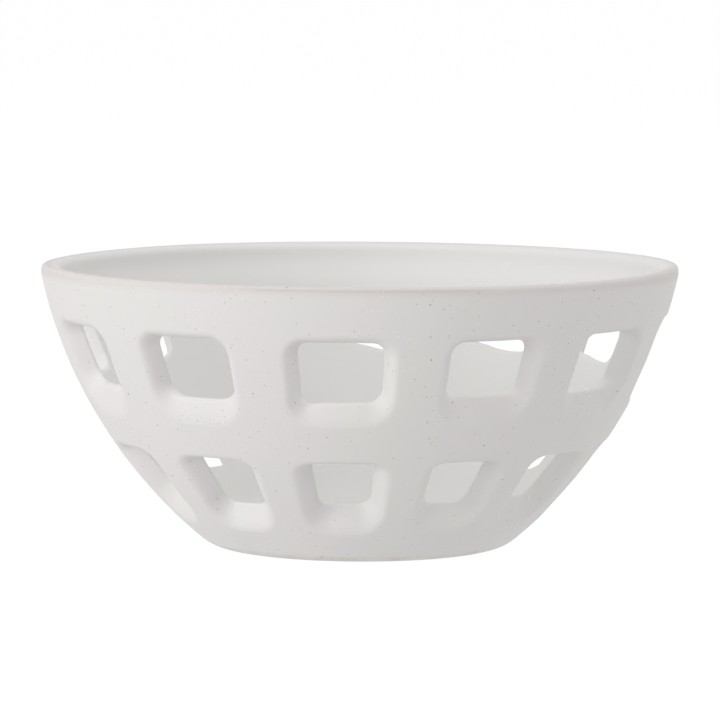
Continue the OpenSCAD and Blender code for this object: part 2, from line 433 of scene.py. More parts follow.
@dataclass(frozen=True)
class BareStoneware:
    """The unglazed clay of the foot, sandy and slightly rubbed."""

    name: str = "bare stoneware"
    pale: Colour = srgb(234, 231, 227)
    dark: Colour = srgb(225, 221, 215)
    grog: Colour = srgb(160, 146, 132)
    cloud_scale: float = 90
    cloud_edges: Pair = (0.35, 0.7)
    sand_scale: float = 1600
    sand_relief: float = 0.00006
    sand_roughness: float = 0.1
    grog_scale: float = 700
    grog_edges: Pair = (0.2, 0.12)
    grog_patches: Pair = (0.45, 0.55)
    grog_strength: float = 0.7
    grog_relief: float = 0.00004
    relief_strength: float = 0.8
    roughness: float = 0.88

    def material(self) -> bpy.types.Material:
        """Builds the clay's material.

        Returns:
            The new material.
        """
        made, graph = new_material(self.name)
        place = graph.link("ShaderNodeTexCoord", output="Object")
        clouds = graph.noise(place, self.cloud_scale, 4, 0.65)
        sand = graph.noise(place, self.sand_scale, 3, 0.7)
        base = graph.mix_colour(clouds.rise(*self.cloud_edges), self.pale, self.dark)
        grains = graph.value(
            "ShaderNodeTexVoronoi", {"feature": "F1"}, {"Vector": place, "Scale": self.grog_scale}
        )
        grog = grains.rise(*self.grog_edges) * clouds.rise(*self.grog_patches)
        base = graph.mix_colour(grog * self.grog_strength, base, self.grog)
        relief = sand * self.sand_relief + grog * self.grog_relief
        roughness = self.roughness + self.sand_roughness * (sand - 0.5)
        graph.surface(relief, self.relief_strength, {"Base Color": base, "Roughness": roughness})
        return made


@dataclass(frozen=True)
class WhiteFloor:
    """The lit floor, which the camera sees as white with the bowl's soft shadow left in it."""

    name: str = "white floor"
    colour: Colour = srgb(242, 242, 242)
    white_share: float = 0.8
    white_strength: float = 1.13
    bounce: float = 0.66

    def material(self) -> bpy.types.Material:
        """Builds the floor's material.

        Returns:
            The new material.
        """
        made, graph = new_material(self.name)
        seen = seen_directly(graph)
        matte = graph.link("ShaderNodeBsdfDiffuse", {}, {"Color": self.colour})
        strength = self.bounce + seen * (self.white_strength - self.bounce)
        glow = graph.link("ShaderNodeEmission", {}, {"Strength": strength})
        share = 1.0 - seen * (1.0 - self.white_share)
        mixed = graph.link("ShaderNodeMixShader", {}, {0: share, 1: matte, 2: glow})
        graph.add("ShaderNodeOutputMaterial", {}, {"Surface": mixed})
        return made


def seen_directly(graph: Graph) -> Value:
    """1 for a ray from the camera, off a gloss or through glass, and 0 for the light itself.

    Args:
        graph: the tree that it is for.

    Returns:
        The number.
    """
    path = graph.add("ShaderNodeLightPath").outputs
    camera, gloss, glass = (
        Value(graph, path[f"Is {kind} Ray"]) for kind in ("Camera", "Glossy", "Transmission")
    )
    return camera.larger(gloss).larger(glass)


# Shape of the wall


@dataclass(frozen=True)
class WallSection:
    """The bowl's section: one arc from the round of the heel to the round of the lip.

    A place on the wall is its lean, the turn of the outward face below the level, and its
    depth from that face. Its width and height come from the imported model, with a little headroom
    so that no rounding lifts it out of that model's box.
    """

    rim_radius: float = round(CAD_BOX[1][0], 6)
    height: float = round(CAD_BOX[1][2] - HEADROOM, 6)
    base_radius: float = 0.050
    arc_radius: float = 0.175
    heel_radius: float = 0.015
    wall: float = 0.0075
    lip_radius: float = 0.0035
    floor_z: float = 0.0085
    foot_z: float = 0.0025
    foot_width: float = 0.007
    flat_lap: float = 0.002
    sill_rise: float = 0.0089
    lower_share: float = 0.46
    bridge: float = 0.02125
    rim_band: float = 0.0231

    @property
    def heel_centre(self) -> np.ndarray:
        """Centre of the heel's round, as (out, up)."""
        return np.array([self.base_radius, self.heel_radius])

    @property
    def lip_centre(self) -> np.ndarray:
        """Centre of the lip's round, as (out, up)."""
        return np.array([self.rim_radius - self.lip_radius, self.height - self.lip_radius])

    @property
    def arc_centre(self) -> np.ndarray:
        """Centre of the wall's arc, which touches both rounds.

        Returns:
            The place, as (out, up).
        """
        heel_reach = self.arc_radius - self.heel_radius
        lip_reach = self.arc_radius - self.lip_radius
        between = self.lip_centre - self.heel_centre
        span = float(np.linalg.norm(between))
        along = (heel_reach**2 - lip_reach**2 + span**2) / (2 * span)
        square = np.array([-between[1], between[0]]) / span
        return self.heel_centre + along * between / span + math.sqrt(heel_reach**2 - along**2) * square

    @property
    def heel_lean(self) -> float:
        """Lean where the heel's round meets the arc."""
        rise = self.arc_centre[1] - self.heel_centre[1]
        return math.asin(rise / (self.arc_radius - self.heel_radius))

    @property
    def foot_lean(self) -> float:
        """Lean where the glaze ends on the heel's round."""
        return math.asin(1 - self.foot_z / self.heel_radius)

    @property
    def lip_lean(self) -> float:
        """Lean where the arc meets the lip's round."""
        rise = self.arc_centre[1] - self.lip_centre[1]
        return math.asin(rise / (self.arc_radius - self.lip_radius))

    @property
    def window_levels(self) -> tuple[Pair, Pair]:
        """Heights between which the windows are cut.

        Returns:
            The lower windows' sill and lintel, and the upper windows'.
        """
        low, high = self.floor_z + self.sill_rise, self.height - self.rim_band
        middle = low + self.lower_share * (high - self.bridge - low)
        return (low, middle), (middle + self.bridge, high)

    def lean_at(self, z: float, depth: float = 0.0) -> float:
        """Lean of the arc at a height and depth."""
        return math.asin((self.arc_centre[1] - z) / (self.arc_radius - depth))

    def at(self, lean: float, depth: float = 0.0) -> np.ndarray:
        """Place on the wall's arc, as (out, up)."""
        return self.arc_centre + (self.arc_radius - depth) * np.array([math.cos(lean), -math.sin(lean)])


@dataclass(frozen=True)
class Seam:
    """A level border between two parts of the wall, at its height outside and inside."""

    outer_z: float
    inner_z: float

    def lean(self, wall: WallSection, inside: bool) -> float:
        """Lean of the border on one face of the wall."""
        return wall.lean_at(self.inner_z, wall.wall) if inside else wall.lean_at(self.outer_z)


def round_arc(
    centre: Sequence[float], radius: float, start: float, end: float, steps: int
) -> list[np.ndarray]:
    """Points of an arc in section.

    Args:
        centre: its centre, as (out, up).
        radius: its radius.
        start: lean at its start.
        end: lean at its end.
        steps: steps along it.

    Returns:
        The points, both ends included.
    """
    leans = np.linspace(start, end, steps + 1)
    return [np.array(centre) + radius * np.array([math.cos(a), -math.sin(a)]) for a in leans]


def curve(controls: Sequence[Sequence[float]], steps: int) -> list[np.ndarray]:
    """Points of a smooth curve from the first control point to the last.

    Args:
        controls: three or four points that draw it, of any number of parts.
        steps: steps along it.

    Returns:
        The points, both ends included.
    """
    order = len(controls) - 1
    points = []
    for s in np.linspace(0, 1, steps + 1).tolist():
        weights = [math.comb(order, k) * s**k * (1 - s) ** (order - k) for k in range(order + 1)]
        points.append(np.array(weights) @ np.array(controls))
    return points


# Windows


@dataclass(frozen=True)
class PanelSteps:
    """How finely one window's panel of wall is divided."""

    half_corner: int = 6
    side: int = 8
    end: int = 12
    field: int = 6
    inner_field: int = 5
    outer_edge: int = 5
    facet: int = 6
    inner_edge: int = 4

    @property
    def border_side(self) -> int:
        """Steps up a panel's side border."""
        return 2 * self.half_corner + self.side

    @property
    def border_end(self) -> int:
        """Steps along a panel's level border."""
        return 2 * self.half_corner + self.end


@dataclass(frozen=True)
class HandCut:
    """How one window strays from its row's pattern.

    Its turn is a share of the spacing and its width a share of the row's. A bottom corner's
    tightness is 0 for the row's round and 1 for a square corner. The rest are metres that lift
    its sill: the inner edge, the outer edge, both ends (bow), and the right end while the left
    one sinks as much (tilt).
    """

    turn: float = 0.0
    width: float = 1.0
    tight_left: float = 0.0
    tight_right: float = 0.0
    sill: float = 0.0
    foot: float = 0.0
    bow: float = 0.0
    tilt: float = 0.0


@dataclass(frozen=True)
class WindowRow:
    """One row of windows, cut by hand out of the wall with a slanted knife.

    The outline is that of the inner edge. The cut widens from there to the outer face by the
    slants at its sides, sill and lintel. The sill may also swell into a low ridge inside the
    wall. The cuts are counted to the right from the front one.
    """

    name: str
    wall: WallSection
    levels: Pair
    width: float
    sill_lift: float
    lintel_drop: float
    top_radius: float
    bottom_radius: float
    side_slant: float
    sill_slant: float
    lintel_slant: float
    cuts: Sequence[HandCut]
    sill_ridge: float = 0.0
    ridge_share: float = 0.6
    ridge_softness: float = 0.16
    face_softness: float = 0.0023
    outer_softness: float = 0.0033
    inner_softness: float = 0.0014
    spread_power: float = 1.35
    first_turn: float = math.radians(-5)
    steps: PanelSteps = PanelSteps()

    @property
    def count(self) -> int:
        """Windows in the row."""
        return len(self.cuts)

    @property
    def height(self) -> float:
        """Height of a window, measured up the wall."""
        low, high = (self.wall.lean_at(z) for z in self.levels)
        return (low - high) * self.wall.arc_radius

    @property
    def middle_lean(self) -> float:
        """Lean of the row's middle."""
        return sum(self.wall.lean_at(z) for z in self.levels) / 2

    @property
    def sill_y(self) -> float:
        """Place of the sill's inner edge, up the wall from the row's middle."""
        return self.sill_lift - self.height / 2

    @property
    def lintel_y(self) -> float:
        """Place of the lintel's inner edge, up the wall from the row's middle."""
        return self.height / 2 - self.lintel_drop

    def level(self, y: float) -> float:
        """Height on the outer face of a place up the wall from the row's middle."""
        return float(self.wall.at(self.middle_lean - y / self.wall.arc_radius)[1])

    def window_turn(self, number: int) -> float:
        """Turn of a window's middle from the front, counted on past a full turn."""
        share = self.cuts[number % self.count].turn
        return self.first_turn + 2 * math.pi / self.count * (number + share)

    def post_turn(self, number: int) -> float:
        """Turn of the post after a window."""
        return (self.window_turn(number) + self.window_turn(number + 1)) / 2

    def outline(self) -> list[Triple]:
        """A window's outline, anticlockwise from the middle of its bottom right corner.

        Returns:
            Points of (across, up, way that the outline faces).
        """
        steps, half_w = self.steps, self.width / 2
        top, bottom = self.top_radius, self.bottom_radius
        low, high = bottom + self.sill_y, self.lintel_y - top
        right, up, left, down = 0.0, math.pi / 2, math.pi, math.pi * 1.5

        def corner(side: int, start: float, halves: tuple[int, int] = (0, 2)) -> list[Triple]:
            """A rounded corner.

            Args:
                side: 1 at the right and -1 at the left.
                start: the way that it first faces.
                halves: where it starts and ends, in half corners.

            Returns:
                Points of the outline.
            """
            radius, y = (top, high) if start < left else (bottom, low)
            x, half = side * (half_w - radius), steps.half_corner
            angles = [start + math.pi / 4 * j / half for j in range(halves[0] * half, halves[1] * half)]
            return [(x + radius * math.cos(a), y + radius * math.sin(a), a) for a in angles]

        def run(start: Pair, end: Pair, facing: float, count: int) -> list[Triple]:
            """A straight side."""
            return [(x, y, facing) for x, y in np.linspace(start, end, count, endpoint=False).tolist()]

        return [
            *corner(1, down, (1, 2)),
            *run((half_w, low), (half_w, high), right, steps.side),
            *corner(1, right),
            *run((half_w - top, self.lintel_y), (top - half_w, self.lintel_y), up, steps.end),
            *corner(-1, up),
            *run((-half_w, high), (-half_w, low), left, steps.side),
            *corner(-1, left),
            *run((bottom - half_w, self.sill_y), (half_w - bottom, self.sill_y), down, steps.end),
            *corner(1, down, (0, 1)),
        ]

    def border(self) -> list[Pair]:
        """Where each outline point's strip ends on the panel's border.

        Returns:
            Pairs of (share of the way from the post before to the post after, share of the way up).
        """
        sides, ends = self.steps.border_side, self.steps.border_end
        return [
            *((1.0, j / sides) for j in range(sides)),
            *((1 - j / ends, 1.0) for j in range(ends)),
            *((0.0, 1 - j / sides) for j in range(sides)),
            *((j / ends, 0.0) for j in range(ends)),
        ]

    def section(self) -> list[Sequence[float]]:
        """The wall beside a window, from the outer face over the slanted cut to the inner face.

        Returns:
            Points of (share of the slant, distance beyond it, depth, share of the way to the border).
        """
        steps, thick, power = self.steps, self.wall.wall, self.spread_power
        face, outer, inner = self.face_softness, self.outer_softness, self.inner_softness
        outer_share, inner_share = outer / thick, inner / thick
        facet = np.linspace(outer_share, 1 - inner_share, steps.facet + 1)[1:-1].tolist()
        inner_shares = [(j + 1) / steps.inner_field for j in range(steps.inner_field)]
        outer_edge = (
            (1.0, face, 0.0, 0.0),
            (1.0, 0.0, 0.0, 0.0),
            (1 - outer_share, 0.0, outer, 0.0),
        )
        inner_edge = (
            (inner_share, 0.0, thick - inner, 0.0),
            (0.0, 0.0, thick, 0.0),
            (0.0, inner, thick, 0.0),
        )
        return [
            *((1.0, face, 0.0, (1 - j / steps.field) ** power) for j in range(steps.field)),
            *curve(outer_edge, steps.outer_edge),
            *((1 - share, 0.0, share * thick, 0.0) for share in facet),
            *curve(inner_edge, steps.inner_edge),
            *((0.0, inner, thick, share**power) for share in inner_shares),
        ]

    def slant(self, facing: float) -> float:
        """How much further out the cut starts on the outer face, where the outline faces so."""
        end = self.sill_slant if math.sin(facing) < 0 else self.lintel_slant
        return self.side_slant * math.cos(facing) ** 2 + end * math.sin(facing) ** 2

    def ridge(self, facing: float, depth: float) -> float:
        """How far the sill's ridge swells into the opening.

        Args:
            facing: the way that the outline faces; only a sill, which faces down, has the ridge.
            depth: how deep in the wall.

        Returns:
            The distance from the straight slant.
        """
        if not self.sill_ridge:
            return 0.0
        top = self.sill_ridge + self.sill_slant * (1 - self.ridge_share)
        deep = depth / self.wall.wall
        rising, falling = deep / self.ridge_share, (1 - deep) / (1 - self.ridge_share)
        share = (rising + falling) / 2 - math.hypot((rising - falling) / 2, self.ridge_softness)
        share += self.ridge_softness * (1 - abs(deep * 2 - 1))
        return top * max(0.0, share) * min(0.0, math.sin(facing)) ** 2

    def flat_panel(self, seams: tuple[Seam, Seam]) -> bpy.types.Object:
        """Makes one window's panel of wall unrolled, as (across, up, -depth).

        Args:
            seams: the panel's lower and upper border.

        Returns:
            A helper object whose attributes say how each point bends on to the wall.
        """
        outline, section = self.outline(), self.section()
        corner_y = self.bottom_radius + self.sill_y
        places, weights, rows = [], [], []
        for (x, y, facing), (share, v) in zip(outline, self.border(), strict=True):
            below = max(0.0, corner_y - y) / self.bottom_radius
            slope = math.sin(2 * facing) if math.sin(facing) < 0 else 0.0
            for slanted, beyond, depth, reach in section:
                distance = slanted * self.slant(facing) + beyond - self.ridge(facing, depth)
                places.append((x + distance * math.cos(facing), y + distance * math.sin(facing), -depth))
                weights.append(((1 - v) * (1 - 2 * v), 4 * v * (1 - v), v * (2 * v - 1)))
                low, high = (seam.lean(self.wall, depth > self.wall.wall / 2) for seam in seams)
                far_lean = low + (high - low) * v
                rows.append((below, reach, share, far_lean, max(0.0, slope), max(0.0, -slope)))
        loops, points = len(outline), len(section)
        strips = [(k * points, (k + 1) % loops * points) for k in range(loops)]
        faces = [(a + m, a + m + 1, b + m + 1, b + m) for a, b in strips for m in range(points - 1)]
        mesh = new_mesh(f"{self.name} panel", places, faces)
        names = ("below", "spread", "side", "far_lean", "corner_left", "corner_right")
        for name, column in zip(names, zip(*rows), strict=True):
            store(mesh, name, column)
        store(mesh, "post_weights", weights)
        return add_object(mesh)

    def marks(self, low_turns: Sequence[float], high_turns: Sequence[float]) -> bpy.types.Object:
        """Makes the potter's marks: one point for each window, with what was cut by hand.

        Args:
            low_turns: turn of each post where the panels' lower border meets it.
            high_turns: the same at their upper border.

        Returns:
            A helper object of points only.
        """
        mesh = new_mesh(f"{self.name} marks", [(0, 0, 0)] * self.count, [])
        store(mesh, "turn", [self.window_turn(i) for i in range(self.count)])
        for name in ("width", "tight_left", "tight_right", "sill", "foot", "bow", "tilt"):
            store(mesh, name, [getattr(cut, name) for cut in self.cuts])
        for name, offset in (("before", -1), ("after", 0)):
            posts = []
            for number in range(offset, self.count + offset):
                laps, index = divmod(number, self.count)
                lap = 2 * math.pi * laps
                posts.append((low_turns[index] + lap, self.post_turn(number), high_turns[index] + lap))
            store(mesh, name, posts)
        return add_object(mesh)

    def border_turns(self, post_turns: Sequence[float]) -> np.ndarray:
        """Turns of every point of a level border, from the post before the first window.

        Args:
            post_turns: turn of the post after each window, along that border.

        Returns:
            The turns.
        """
        posts = [post_turns[-1] - 2 * math.pi, *post_turns]
        shares = np.arange(self.steps.border_end) / self.steps.border_end
        return np.concatenate([low + (high - low) * shares for low, high in zip(posts, posts[1:])])


def new_mesh(name: str, places: Sequence, faces: Sequence) -> bpy.types.Mesh:
    """Makes a mesh.

    Args:
        name: the mesh's name.
        places: where its points are.
        faces: each face's points, by number.

    Returns:
        The mesh.
    """
    mesh = bpy.data.meshes.new(name)
    mesh.from_pydata(places, [], faces)
    return mesh


def store(mesh: bpy.types.Mesh, name: str, values: Sequence) -> None:
    """Stores a number or a vector on each point of a mesh.

    Args:
        mesh: the mesh.
        name: the attribute's name.
        values: what each point gets.
    """
    table = np.array(values, dtype=float)
    kind, part = ("FLOAT", "value") if table.ndim == 1 else ("FLOAT_VECTOR", "vector")
    mesh.attributes.new(name, kind, "POINT").data.foreach_set(part, table.ravel())


def add_object(data: bpy.types.ID) -> bpy.types.Object:
    """Puts a mesh, lamp or camera in the scene at the origin.

    Args:
        data: the mesh, lamp or camera, whose name the object takes.

    Returns:
        The new object.
    """
    made = bpy.data.objects.new(data.name, data)
    bpy.context.scene.collection.objects.link(made)
    return made


class ShapeTree:
    """A Geometry Nodes tree with named inputs, run once on an object and then removed."""

    def __init__(self, name: str, **inputs: Any) -> None:
        """Starts a tree with a geometry input and output, and every named input.

        Args:
            name: the tree's name.
            inputs: a number, an object or a material for each name, with _ for a space.
        """
        self.tree = bpy.data.node_groups.new(name, "GeometryNodeTree")
        self.graph = Graph(self.tree)
        self.given: dict[str, Any] = {}
        for way in ("INPUT", "OUTPUT"):
            self.tree.interface.new_socket("Geometry", in_out=way, socket_type="NodeSocketGeometry")
        for label, given in inputs.items():
            kind = "Float"
            if isinstance(given, bpy.types.ID):
                kind = "Object" if isinstance(given, bpy.types.Object) else "Material"
            item = self.tree.interface.new_socket(
                label.replace("_", " "), in_out="INPUT", socket_type=f"NodeSocket{kind}"
            )
            self.given[item.identifier] = given
        self.entry = self.graph.add("NodeGroupInput")

    def input(self, name: str) -> Value:
        """The named input's value."""
        return Value(self.graph, self.entry.outputs[name])

    def attribute(self, name: str, kind: str = "FLOAT") -> Value:
        """A number or a vector that is stored on the mesh."""
        return self.graph.value("GeometryNodeInputNamedAttribute", {"data_type": kind}, {"Name": name})

    def run(self, host: bpy.types.Object, geometry: Any, place: Any) -> bpy.types.Mesh:
        """Ends the tree with every point placed and the material set, and runs it.

        Args:
            host: the object that it starts from; its own mesh stays as it was.
            geometry: what the points belong to.
            place: where each point goes.

        Returns:
            The result as a plain mesh.
        """
        graph = self.graph
        placed = graph.link("GeometryNodeSetPosition", {}, {0: geometry, "Position": place})
        whole = graph.link("GeometryNodeRealizeInstances", {}, {0: placed})
        smooth = graph.link("GeometryNodeSetShadeSmooth", {}, {0: whole})
        dressed = graph.link(
            "GeometryNodeSetMaterial", {}, {0: smooth, "Material": self.input("Material")}
        )
        graph.add("NodeGroupOutput", {}, {0: dressed})
        modifier = host.modifiers.new(self.tree.name, "NODES")
        modifier.node_group = self.tree
        for identifier, given in self.given.items():
            modifier[identifier] = given
        depsgraph = bpy.context.evaluated_depsgraph_get()
        mesh = bpy.data.meshes.new_from_object(host.evaluated_get(depsgraph))
        host.modifiers.remove(modifier)
        bpy.data.node_groups.remove(self.tree)
        return mesh


@dataclass(frozen=True)
class CutWobble:
    """How far a hand-cut edge strays from its line."""

    amount: float = 0.0007
    size: float = 0.014
    seed: float = 2.0


def bend_panels(
    row: WindowRow,
    seams: tuple[Seam, Seam],
    turns: tuple[Sequence[float], Sequence[float]],
    wobble: CutWobble,
    material: bpy.types.Material,
) -> bpy.types.Mesh:
    """Bends a row's flat panels round the bowl's wall with Geometry Nodes.

    Args:
        row: the row of windows.
        seams: the row's lower and upper border.
        turns: turns of the posts along those borders.
        wobble: how far the cuts stray.
        material: the material of the wall.

    Returns:
        The mesh of the row's whole ring of wall.
    """
    panel, marks = row.flat_panel(seams), row.marks(*turns)
    shape = ShapeTree(
        f"{row.name} round the wall",
        Panel=panel,
        Material=material,
        Arc_radius=row.wall.arc_radius,
        Arc_centre_out=float(row.wall.arc_centre[0]),
        Arc_centre_up=float(row.wall.arc_centre[1]),
        Middle_lean=row.middle_lean,
        Middle_radius=float(row.wall.at(row.middle_lean)[0]),
        Wall=row.wall.wall,
        Half_width=row.width / 2,
        Corner_reach=row.bottom_radius * (1 - math.sqrt(0.5)),
        Wobble=wobble.amount,
        Wobble_size=wobble.size,
        Seed=wobble.seed,
    )
    graph, size, stored = shape.graph, shape.input, shape.attribute
    flat = graph.link("GeometryNodeObjectInfo", {}, {"Object": size("Panel")}, "Geometry")
    copies = graph.link(
        "GeometryNodeInstanceOnPoints", {}, {"Points": size("Geometry"), "Instance": flat}
    )
    whole = graph.link("GeometryNodeRealizeInstances", {}, {0: copies})

    across, up, back = graph.axes(graph.link("GeometryNodeInputPosition"))
    depth = 0.0 - back
    deep, aside = depth / size("Wall"), across / size("Half width")
    lift = stored("foot").towards(stored("sill"), deep)
    lift = lift + stored("bow") * aside * aside + stored("tilt") * aside
    left = stored("tight_left") * stored("corner_left") * size("Corner reach")
    right = stored("tight_right") * stored("corner_right") * size("Corner reach")
    across = across * stored("width") + right - left
    up = up + lift * stored("below") - right - left

    middle_radius, spread = size("Middle radius"), stored("spread")
    where = graph.vector(stored("turn") * middle_radius + across, up, size("Seed"))
    stray = graph.axes(graph.noise(where, 1.0 / size("Wobble size"), 1.0, output="Color"))
    near = (1.0 - spread) * size("Wobble")
    across = across + (stray[0] - 0.5) * near
    up = up + (stray[1] - 0.5) * near

    weights = stored("post_weights", "FLOAT_VECTOR")
    before, after = (
        Value(graph, graph.vector_math("DOT_PRODUCT", stored(name, "FLOAT_VECTOR"), weights))
        for name in ("before", "after")
    )
    turn = stored("turn") + across / middle_radius
    turn = turn.towards(before.towards(after, stored("side")), spread)
    lean = (size("Middle lean") - up / size("Arc radius")).towards(stored("far_lean"), spread)
    reach = size("Arc radius") - depth
    out = size("Arc centre out") + reach * lean.cos()
    place = graph.vector(
        out * turn.sin(), 0.0 - out * turn.cos(), size("Arc centre up") - reach * lean.sin()
    )
    mesh = shape.run(marks, whole, place)
    for helper in (panel, marks):
        bpy.data.objects.remove(helper)
    return mesh


@dataclass(frozen=True)
class HandThrown:
    """How far the pot strays from a true turned shape, always inwards or down."""

    waviness: float = 0.0006
    wave_size: float = 0.075
    ripple: float = 0.00022
    ripple_size: float = 0.016
    off_foot: Pair = (0.003, 0.02)
    least_radius: float = 0.02
    droop: float = 0.0008
    droop_turn: float = math.radians(-100)
    droop_width: float = math.radians(55)
    front_dip: float = 0.0011
    front_reach: Pair = (0.01, 0.1)
    noise_height: float = 0.3
    ripple_shift: float = 1.7
    seed: float = 5.0

    def shape(self, host: bpy.types.Object, height: float, material: bpy.types.Material) -> bpy.types.Mesh:
        """Strays a true bowl's mesh with Geometry Nodes.

        Args:
            host: the true bowl.
            height: its height.
            material: the glaze.

        Returns:
            The mesh as it was thrown.
        """
        shape = ShapeTree(
            "thrown by hand",
            Material=material,
            Waviness=self.waviness,
            Wave_size=self.wave_size,
            Ripple=self.ripple,
            Ripple_size=self.ripple_size,
            Rim_droop=self.droop,
            Droop_turn=self.droop_turn,
            Droop_width=self.droop_width,
            Front_dip=self.front_dip,
            Height=height,
            Seed=self.seed,
        )
        graph, size = shape.graph, shape.input
        place = graph.link("GeometryNodeInputPosition")
        x, y, z = graph.axes(place)

        def pressed(amount: str, wave: str, shift: float) -> Value:
            """How far the wall is pressed in.

            Args:
                amount: the input that says how far at most.
                wave: the input that says how far apart its waves are.
                shift: moves the pattern, as a share of the seed.

            Returns:
                The distance.
            """
            step = graph.vector(size("Seed") * shift, 0.0, self.noise_height)
            moved = graph.vector_math("ADD", place, step)
            return (1.0 - graph.noise(moved, 1.0 / size(wave), 0.0)) * size(amount)

        inwards = pressed("Waviness", "Wave size", 1.0)
        inwards = inwards + pressed("Ripple", "Ripple size", self.ripple_shift)
        inwards = inwards * z.rise(*self.off_foot)
        share = 1.0 - inwards / ((x * x + y * y) ** 0.5).larger(self.least_radius)
        from_droop = abs(x.angle_from(0.0 - y) - size("Droop turn")) / size("Droop width")
        droop = from_droop.rise(1.0, 0.0) * size("Rim droop")
        droop = droop + (0.0 - y).rise(*self.front_reach) * size("Front dip")
        height_share = z / size("Height")
        moved_z = z - droop * height_share * height_share
        return shape.run(host, size("Geometry"), graph.vector(x * share, y * share, moved_z))


# Pieces


def turned_ring(
    shell: bmesh.types.BMesh,
    profile: Sequence[Sequence[float]],
    turns: Sequence[float],
    axis: Pair = (0.0, 0.0),
) -> None:
    """Adds a turned surface to a mesh.

    Args:
        shell: the mesh.
        profile: its section, as (out, up) points.
        turns: where round the axis its points stand.
        axis: place of the upright axis.
    """
    x, y = axis
    rings = [
        [shell.verts.new((x + out * math.sin(t), y - out * math.cos(t), up)) for t in turns]
        for out, up in profile
    ]
    for low, high in zip(rings, rings[1:]):
        for i in range(len(turns)):
            j = (i + 1) % len(turns)
            shell.faces.new((low[i], low[j], high[j], high[i]))


def even_turns(count: int) -> np.ndarray:
    """Turns that share a full round evenly."""
    return np.arange(count) * 2 * math.pi / count


def plain_mesh(shell: bmesh.types.BMesh, name: str) -> bpy.types.Mesh:
    """Turns a shell's faces outwards, reports it and makes it a mesh.

    Args:
        shell: the shell, which is freed.
        name: the mesh's name.

    Returns:
        The mesh.
    """
    bmesh.ops.recalc_face_normals(shell, faces=shell.faces)
    open_edges = sum(not e.is_manifold for e in shell.edges)
    log.info("%s: %d open edges, volume %.1f cm3", name, open_edges, shell.calc_volume() * 1e6)
    mesh = bpy.data.meshes.new(name)
    shell.to_mesh(mesh)
    shell.free()
    return mesh


@dataclass(frozen=True)
class DrainHoles:
    """The holes in the floor."""

    diameter: float = 0.005
    count: int = 6
    circle_radius: float = 0.022
    top_softness: float = 0.0014
    bottom_softness: float = 0.0006
    sides: int = 32
    soft_steps: int = 5

    def profile(self, top: float, bottom: float) -> list[np.ndarray]:
        """A hole's section from the floor's top to its underside.

        Args:
            top: height of the floor's top.
            bottom: height of its underside.

        Returns:
            Points of (radius, height).
        """
        radius, upper, lower = self.diameter / 2, self.top_softness, self.bottom_softness
        return [
            *round_arc((radius + upper, top - upper), upper, -math.pi / 2, -math.pi, self.soft_steps),
            *round_arc((radius + lower, bottom + lower), lower, math.pi, math.pi / 2, self.soft_steps),
        ]

    def build(self, shell: bmesh.types.BMesh, top: float, bottom: float) -> None:
        """Adds the wall of every hole, one in the middle and the rest in a circle.

        Args:
            shell: the mesh to add them to.
            top: height of the floor's top.
            bottom: height of its underside.
        """
        circle = self.circle_radius
        ring = [(circle * math.cos(t), circle * math.sin(t)) for t in even_turns(self.count)]
        for axis in ((0.0, 0.0), *ring):
            turned_ring(shell, self.profile(top, bottom), even_turns(self.sides), axis)


